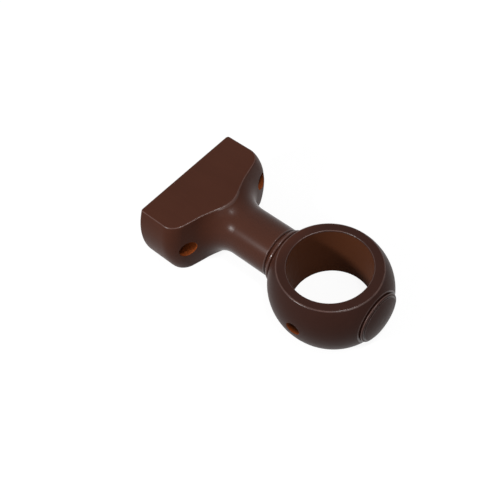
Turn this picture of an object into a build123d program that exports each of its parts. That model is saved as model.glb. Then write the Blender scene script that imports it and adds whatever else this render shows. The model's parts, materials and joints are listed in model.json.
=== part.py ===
import os
from math import asin, cos, degrees, radians, tan

from build123d import *

# Curtain pole bracket: one turned piece of wood, sawn flat on two sides and bored for the pole.
# Origin at the centre of the wall face, +X along the turning axis to the button,
# +Y across the wide base, +Z along the pole. All sizes in millimetres.

# Overall sizes
bracket_length = 115.0
base_width = 65.0
flat_to_flat = 30.0

# Base: rim with a rounded corner at the wall, rounded shoulder, then a slope that hollows out into the neck
base_corner_rounding = 1.5
base_rim_depth = 15.1
shoulder_radius = 7.8
slope_angle = 71.0
hollow_radius = 14.4
neck_diameter = 24.3

# Collar: small groove at the end of the neck, slope up to a rounded ridge, then the foot of the ball
collar_groove_depth = 0.5
collar_groove_width = 0.5
collar_slope_width = 2.4
collar_ridge_diameter = 27.4
collar_ridge_offset = 0.9
collar_ridge_rounding = 1.0

# Ball, turned a little longer than it is wide
ball_diameter = 54.0
ball_length = 56.2
ball_foot_diameter = 25.6
ball_lip_diameter = 25.2

# Button at the tip: thin bead between two V-shaped grooves, then a low domed face
button_groove_diameter = 21.0
button_groove_width = 0.35
button_bead_foot_diameter = 22.6
button_bead_diameter = 23.9
button_bead_width = 1.1
button_face_diameter = 21.8
button_face_rise = 1.8

# Bore for the pole
pole_bore_diameter = 37.0

# Two wall screw holes in a line across the base, drilled slightly off centre
screw_edge_distance = 7.0
screw_line_offset = 1.0
screw_hole_diameter = 4.5
screw_recess_diameter = 8.2
screw_seat_height = 14.0

# Hole for the fixing screw that stops the pole from sliding
fixing_hole_diameter = 3.5
fixing_recess_diameter = 6.6
fixing_recess_depth = 4.5
fixing_hole_offset = 1.2

# Sanded edges
lip_rounding = 0.12
ball_lip_rounding = 0.3
flat_edge_rounding = 0.8
bore_edge_rounding = 0.6
recess_edge_rounding = 0.3


# Places along the turning axis, worked out from the sizes above
def ball_half_span(diameter):
    """Distance along the axis from the ball's centre to where it narrows to the given diameter."""
    return ball_length / 2 * cos(asin(diameter / ball_diameter))


def ball_angle(diameter):
    """Ellipse angle, in degrees from the axis, where the ball has the given diameter."""
    return degrees(asin(diameter / ball_diameter))


face_edge_x = bracket_length - button_face_rise
button_bead_end_x = face_edge_x - button_groove_width
button_bead_start_x = button_bead_end_x - button_bead_width
ball_lip_x = button_bead_start_x - button_groove_width
ring_centre_x = ball_lip_x - ball_half_span(ball_lip_diameter)
ball_foot_x = ring_centre_x - ball_half_span(ball_foot_diameter)
collar_ridge_x = ball_foot_x - collar_ridge_offset
collar_groove_x = collar_ridge_x - collar_slope_width
neck_end_x = collar_groove_x - collar_groove_width
slope_start_x = base_rim_depth + shoulder_radius * tan(radians(slope_angle / 2))
slope_end_x = slope_start_x + (base_width - neck_diameter) / 2 / tan(radians(slope_angle))

# Points of the turned outline, as distance along the axis and radius
wall_centre = (0, 0)
base_corner = (0, base_width / 2)
slope_start = (slope_start_x, base_width / 2)
slope_end = (slope_end_x, neck_diameter / 2)
neck_end = (neck_end_x, neck_diameter / 2)
collar_groove_bottom = (collar_groove_x, neck_diameter / 2 - collar_groove_depth)
collar_ridge = (collar_ridge_x, collar_ridge_diameter / 2)
ball_foot = (ball_foot_x, ball_foot_diameter / 2)
ball_lip = (ball_lip_x, ball_lip_diameter / 2)
lip_groove_bottom = (ball_lip_x + button_groove_width / 2, button_groove_diameter / 2)
button_bead_start = (button_bead_start_x, button_bead_foot_diameter / 2)
button_bead_top = (button_bead_start_x + button_bead_width / 2, button_bead_diameter / 2)
button_bead_end = (button_bead_end_x, button_bead_foot_diameter / 2)
face_groove_bottom = (button_bead_end_x + button_groove_width / 2, button_groove_diameter / 2)
face_edge = (face_edge_x, button_face_diameter / 2)
face_top = (bracket_length, 0)

os.makedirs("parts", exist_ok=True)

with BuildPart() as pole_bracket:

    # Turned form: half of the lengthwise section, spun about the axis
    with BuildSketch(Plane.XY) as turned_half:
        with BuildLine():
            FilletPolyline(
                wall_centre,
                base_corner,
                slope_start,
                slope_end,
                neck_end,
                radius=(base_corner_rounding, shoulder_radius, hollow_radius),
            )
            Line(neck_end, collar_groove_bottom)
            FilletPolyline(collar_groove_bottom, collar_ridge, ball_foot, radius=collar_ridge_rounding)
            EllipticalCenterArc(
                (ring_centre_x, 0),
                ball_length / 2,
                ball_diameter / 2,
                start_angle=ball_angle(ball_lip_diameter),
                arc_size=180 - ball_angle(ball_foot_diameter) - ball_angle(ball_lip_diameter),
            )
            Polyline(ball_lip, lip_groove_bottom, button_bead_start)
            ThreePointArc(button_bead_start, button_bead_top, button_bead_end)
            Polyline(button_bead_end, face_groove_bottom, face_edge)
            TangentArc(face_top, face_edge, tangent=(0, 1))
            Line(face_top, wall_centre)
        make_face()
        lips = [turned_half.vertices().sort_by_distance(point)[0] for point in (neck_end, face_edge)]
        fillet(lips, lip_rounding)
        fillet(turned_half.vertices().sort_by_distance(ball_lip)[0], ball_lip_rounding)
    revolve(axis=Axis.X)

    # Two parallel flats, equally far from the axis
    with BuildSketch(Plane.XY):
        Rectangle(2 * bracket_length, 2 * base_width)
    extrude(amount=flat_to_flat / 2, both=True, mode=Mode.INTERSECT)

    # Rounded edges all round the flats
    flats = pole_bracket.faces().filter_by(Axis.Z)
    fillet(flats.edges(), flat_edge_rounding)

    # Bore for the pole, straight through both flats, with sanded mouths
    with Locations((ring_centre_x, 0, flat_to_flat / 2)):
        Hole(pole_bore_diameter / 2, flat_to_flat)
    bore_mouths = pole_bracket.edges(Select.LAST).filter_by(GeomType.CIRCLE)
    fillet(bore_mouths, bore_edge_rounding)

    # Wall screw holes, parallel to the axis, each with a recess that takes the screw's head
    screw_height = slope_end_x
    screw_spacing = base_width - 2 * screw_edge_distance
    screw_places = [screw_line_offset - screw_spacing / 2, screw_line_offset + screw_spacing / 2]
    with Locations(*[Plane((screw_height, place, 0), z_dir=(1, 0, 0)) for place in screw_places]):
        CounterBoreHole(
            screw_hole_diameter / 2, screw_recess_diameter / 2, screw_height - screw_seat_height, screw_height
        )
    screw_mouths = pole_bracket.edges(Select.LAST).filter_by(GeomType.BSPLINE)
    fillet(screw_mouths, recess_edge_rounding)

    # Fixing screw hole, square to the bore, from the ball's side into the bore
    fixing_plane = Plane((ring_centre_x + fixing_hole_offset, -ball_diameter / 2, 0), z_dir=(0, -1, 0))
    with Locations(fixing_plane):
        CounterBoreHole(
            fixing_hole_diameter / 2, fixing_recess_diameter / 2, fixing_recess_depth, ball_diameter / 2
        )
    fixing_mouth = pole_bracket.edges(Select.LAST).filter_by(GeomType.BSPLINE).sort_by(Axis.Y)[0]
    fillet(fixing_mouth, recess_edge_rounding)

pole_bracket.part.label = "pole_bracket"
export_step(pole_bracket.part, "parts/pole_bracket.step")
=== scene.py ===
import json
import math

import bpy
from mathutils import Matrix, Vector


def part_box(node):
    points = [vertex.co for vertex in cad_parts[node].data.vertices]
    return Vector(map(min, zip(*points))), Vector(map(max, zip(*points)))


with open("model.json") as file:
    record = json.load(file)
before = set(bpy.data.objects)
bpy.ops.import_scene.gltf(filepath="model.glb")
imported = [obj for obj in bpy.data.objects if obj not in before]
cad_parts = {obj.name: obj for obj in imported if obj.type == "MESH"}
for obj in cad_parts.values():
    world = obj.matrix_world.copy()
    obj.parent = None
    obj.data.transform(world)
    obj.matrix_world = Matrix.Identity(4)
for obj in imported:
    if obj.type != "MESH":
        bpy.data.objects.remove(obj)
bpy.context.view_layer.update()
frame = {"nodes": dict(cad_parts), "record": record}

# The bracket itself: one turning in close-grained hardwood, sawn flat on two sides, bored and drilled.
# It is stained an even dark coffee-brown, sanded a little on its edges and sprayed with a satin lacquer.
# The wall screw holes and the fixing hole were drilled after the staining, so they show bare orange wood.
bracket = frame["nodes"]["pole_bracket"]
mounts = {mount["name"]: mount for mount in frame["record"]["mounts"]}

millimetre = 0.001
half_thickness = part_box("pole_bracket")[1].z / millimetre
bore_place = mounts["pole_bore"]["pos_m"][0] / millimetre
bore_radius = mounts["pole_bore"]["dims"]["r_mm"]
bore_edge_rounding = 0.6
neck_start = 34.0
collar_place = 60.0
screw_line_offset = mounts["wall_screw_holes"]["pos_m"][1] / millimetre
screw_spacing = mounts["wall_screw_holes"]["dims"]["spacing_x_mm"]
screw_recess_radius = 4.1
past_screw_mouth = 30.0
screw_seat = 14.0
screw_shade_start = 24.5
fixing_place = mounts["fixing_screw_hole"]["pos_m"][0] / millimetre
fixing_recess_radius = 3.3
fixing_shade_start = -27.8
fixing_shade_end = -24.2
tip_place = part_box("pole_bracket")[1].x / millimetre
flat_edge_rounding = 0.8

# Turned edges that the sanding reached, along which a paler line also stands in for a painted highlight,
# and grooves where the stain gathered and painted shade darkens them,
# each as millimetres along the axis and millimetres of radius
turned_edge_lines = {
    "neck lip": (58.0, 12.15),
    "collar ridge": (60.9, 13.45),
    "ball lip": (111.35, 12.55),
    "button bead": (112.3, 11.95),
    "button face": (113.15, 10.85),
}
stained_and_shaded_grooves = {
    "collar groove": (58.5, 11.65),
    "foot of the ball": (61.8, 12.8),
    "groove at the ball lip": (111.58, 10.7),
    "groove at the button face": (113.02, 10.6),
}

stain_dark = (0.0470, 0.0152, 0.0088, 1)
stain_mid = (0.0640, 0.0211, 0.0124, 1)
# The ball's stain, painted darker as shade
ball_stain_shaded_dark = (0.0280, 0.0110, 0.0078, 1)
ball_stain_shaded_mid = (0.0380, 0.0145, 0.0105, 1)
stain_in_bore = (0.0930, 0.0300, 0.0130, 1)
# Paler colour of the sanded edges, partly a painted highlight
sanded_stain_and_highlight = (0.1050, 0.0480, 0.0370, 1)
# Dark stain in the grooves, partly painted shade
groove_stain_and_shade = (0.0230, 0.0065, 0.0035, 1)
bare_wood = (0.3700, 0.0850, 0.0200, 1)
bare_wood_dark = (0.2300, 0.0500, 0.0120, 1)
# Painted shade deep inside the drilled holes
painted_hole_shade = (0.0300, 0.0085, 0.0030, 1)

wood = bpy.data.materials.new("stained_wood_satin")
wood.use_nodes = True
wood_tree = wood.node_tree
wood_tree.nodes.clear()


def add(tree, kind, **settings):
    """A new node of the given kind, with each named setting put on the node itself."""
    made = tree.nodes.new(kind)
    for name, value in settings.items():
        setattr(made, name, value)
    return made


def feed(tree, socket, value):
    """Gives a socket its value: a link if the value is another node's output, and otherwise a constant."""
    if isinstance(value, bpy.types.NodeSocket):
        tree.links.new(value, socket)
    else:
        socket.default_value = value


def calculate(tree, operation, *values):
    """Output of a Math node, with its inputs in order."""
    made = add(tree, "ShaderNodeMath", operation=operation)
    for socket, value in zip(made.inputs, values):
        feed(tree, socket, value)
    return made.outputs[0]


def highest(tree, first, *others):
    """The largest of the values."""
    for other in others:
        first = calculate(tree, "MAXIMUM", first, other)
    return first


def ramp(tree, value, start, end):
    """Rises smoothly from 0 where the value is at start to 1 where it is at end; start may be the larger."""
    made = add(tree, "ShaderNodeMapRange", interpolation_type="SMOOTHSTEP")
    feed(tree, made.inputs["Value"], value)
    made.inputs["From Min"].default_value = start
    made.inputs["From Max"].default_value = end
    return made.outputs["Result"]


def band(tree, value, rise_start, rise_end, fall_start, fall_end):
    """1 from rise_end to fall_start, and smoothly down to 0 at rise_start and at fall_end."""
    return calculate(
        tree, "MULTIPLY",
        ramp(tree, value, rise_start, rise_end),
        ramp(tree, value, fall_end, fall_start),
    )


def tint(tree, share, below, above):
    """Colour that goes from below to above with the share, from 0 to 1."""
    made = add(tree, "ShaderNodeMix", data_type="RGBA")
    factor, first, second = made.inputs[0], made.inputs[6], made.inputs[7]
    feed(tree, factor, share)
    feed(tree, first, below)
    feed(tree, second, above)
    return made.outputs[2]


def noise(tree, place, scale, detail=4.0, roughness=0.55):
    """Noise from 0 to 1: scale is how many waves there are in a millimetre along X, Y and Z."""
    stretch = add(tree, "ShaderNodeMapping", vector_type="POINT")
    feed(tree, stretch.inputs["Vector"], place)
    stretch.inputs["Scale"].default_value = scale
    made = add(tree, "ShaderNodeTexNoise")
    tree.links.new(stretch.outputs["Vector"], made.inputs["Vector"])
    made.inputs["Scale"].default_value = 1.0
    made.inputs["Detail"].default_value = detail
    made.inputs["Roughness"].default_value = roughness
    return made.outputs["Fac"]


def reach(tree, first, second):
    """Length of the hypotenuse: the root of the sum of the two squares."""
    squares = calculate(
        tree, "MULTIPLY_ADD", first, first,
        calculate(tree, "MULTIPLY", second, second),
    )
    return calculate(tree, "SQRT", squares)


coordinates = add(wood_tree, "ShaderNodeTexCoord")
in_millimetres = add(wood_tree, "ShaderNodeMapping", vector_type="POINT")
in_millimetres.inputs["Scale"].default_value = (1 / millimetre,) * 3
wood_tree.links.new(coordinates.outputs["Object"], in_millimetres.inputs["Vector"])
place = in_millimetres.outputs["Vector"]
place_parts = add(wood_tree, "ShaderNodeSeparateXYZ")
wood_tree.links.new(place, place_parts.inputs["Vector"])
along, across, height = place_parts.outputs
facing_parts = add(wood_tree, "ShaderNodeSeparateXYZ")
wood_tree.links.new(coordinates.outputs["Normal"], facing_parts.inputs["Vector"])
upward = calculate(wood_tree, "ABSOLUTE", facing_parts.outputs["Z"])
off_middle = calculate(wood_tree, "ABSOLUTE", height)
turned_radius = reach(wood_tree, across, height)


def near_turned_lines(lines, fade_start, fade_end):
    """1 within fade_end millimetres of any of the lines round the turning, and 0 beyond fade_start."""
    shares = []
    for line_along, line_radius in lines.values():
        apart = reach(
            wood_tree,
            calculate(wood_tree, "SUBTRACT", along, line_along),
            calculate(wood_tree, "SUBTRACT", turned_radius, line_radius),
        )
        shares.append(ramp(wood_tree, apart, fade_start, fade_end))
    return highest(wood_tree, *shares)


# Grain under the stain: faint growth rings about the tree's centre, fine fibres along the turning axis
# and broad soft clouds where the wood drank more of the stain
tree_centre_across = 46.0
tree_centre_height = -118.0
ring_width = 3.1
ring_warp_distance = 16.0
ring_warp_scale = (0.012, 0.05, 0.05)
late_wood_range = (0.1, 1.0)
fibre_scale = (0.045, 1.3, 1.3)
fine_fibre_scale = (0.16, 4.2, 4.2)
cloud_scale = (0.028, 0.045, 0.045)
fibre_share = 0.35
fine_fibre_share = 0.12
late_wood_share = -0.08
cloud_share = 0.9
cloud_offset = -0.15

ring_warp = noise(wood_tree, place, ring_warp_scale, detail=3.0)
from_tree_centre = reach(
    wood_tree,
    calculate(wood_tree, "SUBTRACT", across, tree_centre_across),
    calculate(wood_tree, "SUBTRACT", height, tree_centre_height),
)
ring_phase = calculate(wood_tree, "MULTIPLY_ADD", ring_warp, ring_warp_distance, from_tree_centre)
ring_wave = calculate(
    wood_tree, "SINE",
    calculate(wood_tree, "MULTIPLY", ring_phase, 2 * math.pi / ring_width),
)
late_wood = ramp(wood_tree, ring_wave, *late_wood_range)
fibre = noise(wood_tree, place, fibre_scale, detail=5.0, roughness=0.62)
fine_fibre = noise(wood_tree, place, fine_fibre_scale, detail=3.0, roughness=0.6)
stain_cloud = noise(wood_tree, place, cloud_scale, detail=3.0)
grain_share = calculate(
    wood_tree, "MULTIPLY_ADD", fibre, fibre_share,
    calculate(wood_tree, "MULTIPLY_ADD", stain_cloud, cloud_share, cloud_offset),
)
grain_share = calculate(wood_tree, "MULTIPLY_ADD", late_wood, late_wood_share, grain_share)
grain_share = calculate(wood_tree, "MULTIPLY_ADD", fine_fibre, fine_fibre_share, grain_share)
colour = tint(wood_tree, grain_share, stain_dark, stain_mid)

# Painted shade: the ball is coloured darker than the base and the neck,
# standing in for the lesser light that falls on it
ball_shaded_tone_blend = 12
on_ball = ramp(wood_tree, along, collar_place, collar_place + ball_shaded_tone_blend)
ball_shaded_tone = tint(wood_tree, grain_share, ball_stain_shaded_dark, ball_stain_shaded_mid)
colour = tint(wood_tree, on_ball, colour, ball_shaded_tone)

# The bore took less stain than the turned outside and shows warmer
bore_wall_end = half_thickness - bore_edge_rounding
bore_tone_depth = (bore_radius + 0.35, bore_radius + 0.05)
bore_tone_height = (bore_wall_end + 0.2, bore_wall_end - 0.1)
from_bore_axis = reach(wood_tree, calculate(wood_tree, "SUBTRACT", along, bore_place), across)
in_bore = calculate(
    wood_tree, "MULTIPLY",
    ramp(wood_tree, from_bore_axis, *bore_tone_depth),
    ramp(wood_tree, off_middle, *bore_tone_height),
)
colour = tint(wood_tree, in_bore, colour, stain_in_bore)

# Sanded edges with a painted highlight: a hair-thin paler line on the rounding of the two flats, and on the
# turned lips and ridges, partly the sanded wood and partly a painted highlight along them
sanded_highlight_tilt = (0.66, 0.80, 0.93, 0.985)
sanded_highlight_height = (half_thickness - 0.45, half_thickness - 0.25)
sanded_highlight_line_fade = (0.32, 0.08)
sanding_and_highlight_patch_scale = 0.16
sanding_and_highlight_patch_range = (0.32, 0.64)
least_sanding_and_highlight = 0.10
patchy_sanding_and_highlight = 0.45

near_flat = ramp(wood_tree, off_middle, *sanded_highlight_height)
flat_edge = calculate(wood_tree, "MULTIPLY", near_flat, band(wood_tree, upward, *sanded_highlight_tilt))
sanding_and_highlight = highest(wood_tree, flat_edge, near_turned_lines(turned_edge_lines, *sanded_highlight_line_fade))
unevenness = ramp(wood_tree, noise(wood_tree, place, (sanding_and_highlight_patch_scale,) * 3), *sanding_and_highlight_patch_range)
sanding_and_highlight_share = calculate(wood_tree, "MULTIPLY_ADD", unevenness, patchy_sanding_and_highlight, least_sanding_and_highlight)
sanding_and_highlight = calculate(wood_tree, "MULTIPLY", sanding_and_highlight, sanding_and_highlight_share)
colour = tint(wood_tree, sanding_and_highlight, colour, sanded_stain_and_highlight)

# Stain gathered in the turned grooves, darkened further by painted shade
groove_fade = (0.75, 0.15)
groove_share = 0.8
gathered_stain_and_shade = near_turned_lines(stained_and_shaded_grooves, *groove_fade)
gathered_stain_and_shade = calculate(wood_tree, "MULTIPLY", gathered_stain_and_shade, groove_share)
colour = tint(wood_tree, gathered_stain_and_shade, colour, groove_stain_and_shade)

# Bare wood in the drilled holes: each hole's mask goes by the distance from its own axis, and painted
# shade makes the wood darker the deeper it lies in the hole
bare_start = 0.18
bare_full = 0.02
screw_stretch = (0.3, 0.6, past_screw_mouth, past_screw_mouth + 1)
fixing_stretch = (-bore_radius - 0.05, -bore_radius - 0.25)
ball_start_blend = 1

holes = []
for side in (-1, 1):
    from_axis = reach(
        wood_tree,
        calculate(wood_tree, "SUBTRACT", across, screw_line_offset + side * screw_spacing / 2),
        height,
    )
    holes.append(calculate(
        wood_tree, "MULTIPLY",
        ramp(wood_tree, from_axis, screw_recess_radius + bare_start, screw_recess_radius + bare_full),
        band(wood_tree, along, *screw_stretch),
    ))
from_axis = reach(wood_tree, calculate(wood_tree, "SUBTRACT", along, fixing_place), height)
holes.append(calculate(
    wood_tree, "MULTIPLY",
    ramp(wood_tree, from_axis, fixing_recess_radius + bare_start, fixing_recess_radius + bare_full),
    ramp(wood_tree, across, *fixing_stretch),
))
bare = highest(wood_tree, *holes)
# Painted shade: the wood in a hole is darker the deeper it lies
fixing_shade = calculate(
    wood_tree, "MULTIPLY",
    ramp(wood_tree, across, fixing_shade_start, fixing_shade_end),
    ramp(wood_tree, along, collar_place, collar_place + ball_start_blend),
)
hole_shade = highest(wood_tree, ramp(wood_tree, along, screw_shade_start, screw_seat), fixing_shade)
bare_tone = tint(wood_tree, fine_fibre, bare_wood_dark, bare_wood)
colour = tint(wood_tree, bare, colour, tint(wood_tree, hole_shade, bare_tone, painted_hole_shade))

# Lacquer: satin, a little uneven, smoothest on the neck, thin in the bore and missing in the bare holes.
# The roughening and smoothing values and the two added glosses are what each place adds to the rest.
lacquer_gloss = 0.052
bare_gloss = 0.015
neck_gloss_added = 0.055
edge_gloss_added = 0.24
satin_roughness = 0.36
uneven_roughening = 0.08
neck_smoothing = -0.13
bare_roughening = 0.45
bore_roughening = 0.20
edge_smoothing = -0.08
sheen_scale = 0.35
neck_stretch = (neck_start - 8, neck_start, collar_place, collar_place + 4)

sheen = noise(wood_tree, place, (sheen_scale,) * 3, detail=3.0)
on_neck = band(wood_tree, along, *neck_stretch)
roughness = calculate(wood_tree, "MULTIPLY_ADD", sheen, uneven_roughening, satin_roughness)
roughness = calculate(wood_tree, "MULTIPLY_ADD", on_neck, neck_smoothing, roughness)
roughness = calculate(wood_tree, "MULTIPLY_ADD", bare, bare_roughening, roughness)
roughness = calculate(wood_tree, "MULTIPLY_ADD", in_bore, bore_roughening, roughness)
gloss = calculate(
    wood_tree, "MULTIPLY_ADD",
    highest(wood_tree, in_bore, bare), bare_gloss - lacquer_gloss, lacquer_gloss,
)
gloss = calculate(wood_tree, "MULTIPLY_ADD", on_neck, neck_gloss_added, gloss)

# The lacquer drew into a thicker, shinier bead on every rounded edge
bead_tilt = (0.60, 0.72, 0.955, 0.985)
bead_line_fade = (0.55, 0.25)
bead_blend = 0.1
rounding_start = half_thickness - flat_edge_rounding
on_rounding = ramp(wood_tree, off_middle, rounding_start, rounding_start + bead_blend)
flat_bead = calculate(wood_tree, "MULTIPLY", on_rounding, band(wood_tree, upward, *bead_tilt))
polish = highest(wood_tree, flat_bead, near_turned_lines(turned_edge_lines, *bead_line_fade))
gloss = calculate(wood_tree, "MULTIPLY_ADD", polish, edge_gloss_added, gloss)
roughness = calculate(wood_tree, "MULTIPLY_ADD", polish, edge_smoothing, roughness)

# The grain under the lacquer stands a few hundredths of a millimetre proud
fibre_relief = 0.6
fine_fibre_relief = 0.5
relief_strength = 0.25
relief_height = 0.03 * millimetre
relief = calculate(
    wood_tree, "MULTIPLY_ADD", fine_fibre, fine_fibre_relief,
    calculate(wood_tree, "MULTIPLY", fibre, fibre_relief),
)
bump = add(wood_tree, "ShaderNodeBump")
bump.inputs["Strength"].default_value = relief_strength
bump.inputs["Distance"].default_value = relief_height
wood_tree.links.new(relief, bump.inputs["Height"])

# The very tip of the domed face is square to the axis, so its shading is set to face along it
tip_fade = (2.4, 1.2)
tip_stretch = (tip_place - 1, tip_place - 0.5)
at_tip = calculate(
    wood_tree, "MULTIPLY",
    ramp(wood_tree, turned_radius, *tip_fade),
    ramp(wood_tree, along, *tip_stretch),
)
facing = add(wood_tree, "ShaderNodeMix", data_type="VECTOR")
facing_share, facing_surface, facing_axis = facing.inputs[0], facing.inputs[4], facing.inputs[5]
wood_tree.links.new(at_tip, facing_share)
wood_tree.links.new(add(wood_tree, "ShaderNodeNewGeometry").outputs["Normal"], facing_surface)
facing_axis.default_value = (1, 0, 0)
wood_tree.links.new(facing.outputs[1], bump.inputs["Normal"])

surface = add(wood_tree, "ShaderNodeBsdfPrincipled")
wood_tree.links.new(colour, surface.inputs["Base Color"])
wood_tree.links.new(roughness, surface.inputs["Roughness"])
wood_tree.links.new(bump.outputs["Normal"], surface.inputs["Normal"])
wood_tree.links.new(gloss, surface.inputs["Specular IOR Level"])
output = add(wood_tree, "ShaderNodeOutputMaterial")
wood_tree.links.new(surface.outputs["BSDF"], output.inputs["Surface"])

bracket.material_slots[0].material = wood

# The floor: a plain flat white sheet under the bracket, which lies on its lower flat.
# It looks white to the eye and in reflections, with a soft pale shadow, and throws little light back up.
floor_size = 4.0
floor_white = (0.97, 0.97, 0.97, 1)
floor_bounce = (0.20, 0.20, 0.20, 1)
floor_glow_share = 0.85
floor_glow_strength = 1.06
half_floor = floor_size / 2
floor_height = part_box("pole_bracket")[0].z
floor_corners = [
    (x * half_floor, y * half_floor, floor_height)
    for x, y in [(-1, -1), (1, -1), (1, 1), (-1, 1)]
]
floor_mesh = bpy.data.meshes.new("floor")
floor_mesh.from_pydata(floor_corners, [], [(0, 1, 2, 3)])
floor = bpy.data.objects.new("floor", floor_mesh)
bpy.context.scene.collection.objects.link(floor)

floor_material = bpy.data.materials.new("white_sweep")
floor_material.use_nodes = True
floor_tree = floor_material.node_tree
floor_tree.nodes.clear()


def seen_or_mirrored(tree):
    """1 for what is seen directly, in a reflection or through glass, and 0 for light thrown on."""
    path = add(tree, "ShaderNodeLightPath")
    return highest(
        tree,
        path.outputs["Is Camera Ray"],
        path.outputs["Is Glossy Ray"],
        path.outputs["Is Transmission Ray"],
    )


floor_seen = seen_or_mirrored(floor_tree)
floor_surface = add(floor_tree, "ShaderNodeBsdfDiffuse")
feed(floor_tree, floor_surface.inputs["Color"], tint(floor_tree, floor_seen, floor_bounce, floor_white))
floor_glow = add(floor_tree, "ShaderNodeEmission")
floor_glow.inputs["Strength"].default_value = floor_glow_strength
floor_mix = add(floor_tree, "ShaderNodeMixShader")
feed(floor_tree, floor_mix.inputs[0], calculate(floor_tree, "MULTIPLY", floor_seen, floor_glow_share))
floor_tree.links.new(floor_surface.outputs["BSDF"], floor_mix.inputs[1])
floor_tree.links.new(floor_glow.outputs["Emission"], floor_mix.inputs[2])
floor_output = add(floor_tree, "ShaderNodeOutputMaterial")
floor_tree.links.new(floor_mix.outputs["Shader"], floor_output.inputs["Surface"])
floor_mesh.materials.append(floor_material)

# Studio light: an even white room, a large soft lamp overhead with a small one beside it that draws the
# bright lines along the edges, a small strong lamp on the left and a large soft one beyond the button
room_strength = 0.28
white_room = bpy.data.worlds.new("white_room")
bpy.context.scene.world = white_room
white_room.use_nodes = True
room_tree = white_room.node_tree
room_tree.nodes.clear()
room_background = add(room_tree, "ShaderNodeBackground")
room_background.inputs["Color"].default_value = (1, 1, 1, 1)
feed(
    room_tree, room_background.inputs["Strength"],
    calculate(room_tree, "MULTIPLY_ADD", seen_or_mirrored(room_tree), 1 - room_strength, room_strength),
)
room_output = add(room_tree, "ShaderNodeOutputWorld")
room_tree.links.new(room_background.outputs["Background"], room_output.inputs["Surface"])

look_point = Vector((0.060, 0, 0))


def softbox(name, azimuth, elevation, width, tall, power):
    """Soft lamp one metre from the look point and facing it.

    The angles are in degrees, the azimuth from +X towards +Y, the sizes in metres and the power in watts.
    """
    lamp = bpy.data.lights.new(name, "AREA")
    lamp.shape = "RECTANGLE"
    lamp.size = width
    lamp.size_y = tall
    lamp.energy = power
    holder = bpy.data.objects.new(name, lamp)
    bpy.context.scene.collection.objects.link(holder)
    towards = Vector((
        math.cos(math.radians(azimuth)) * math.cos(math.radians(elevation)),
        math.sin(math.radians(azimuth)) * math.cos(math.radians(elevation)),
        math.sin(math.radians(elevation)),
    ))
    holder.location = look_point + towards
    holder.rotation_mode = "QUATERNION"
    holder.rotation_quaternion = towards.to_track_quat("Z", "Y")


softbox("lamp_left", azimuth=250, elevation=33, width=0.13, tall=0.16, power=6.7)
softbox("lamp_overhead", azimuth=20, elevation=80, width=0.50, tall=0.50, power=0.9)
softbox("lamp_edge", azimuth=0, elevation=75, width=0.12, tall=0.12, power=2.7)
softbox("lamp_front", azimuth=340, elevation=40, width=0.40, tall=0.40, power=1.6)

# The camera looks down at the bracket from beyond its button, turned a little about its own axis.
# Its azimuth is measured from -Y towards +X, and its distances are in metres.
camera_azimuth = math.radians(49.573)
camera_elevation = math.radians(52.95)
camera_roll = math.radians(-9.079)
camera_distance = 0.40151
look_point_right = 0.015398
look_point_up = -0.002426
focal_length_pixels = 899.23
picture_width_pixels = 500
sensor_width_millimetres = 36.0
nearest_seen = 0.01

back = Vector((
    math.sin(camera_azimuth) * math.cos(camera_elevation),
    -math.cos(camera_azimuth) * math.cos(camera_elevation),
    math.sin(camera_elevation),
))
level_right = Vector((math.cos(camera_azimuth), math.sin(camera_azimuth), 0))
level_up = back.cross(level_right)
right = math.cos(camera_roll) * level_right + math.sin(camera_roll) * level_up
up = math.cos(camera_roll) * level_up - math.sin(camera_roll) * level_right
camera_data = bpy.data.cameras.new("camera")
camera_data.sensor_width = sensor_width_millimetres
camera_data.lens = sensor_width_millimetres * focal_length_pixels / picture_width_pixels
camera_data.clip_start = nearest_seen
camera = bpy.data.objects.new("camera", camera_data)
bpy.context.scene.collection.objects.link(camera)
camera_place = look_point - look_point_right * right - look_point_up * up + camera_distance * back
camera.matrix_world = Matrix.Translation(camera_place) @ Matrix((right, up, back)).transposed().to_4x4()
bpy.context.scene.camera = camera

bpy.context.scene.view_settings.view_transform = "Standard"
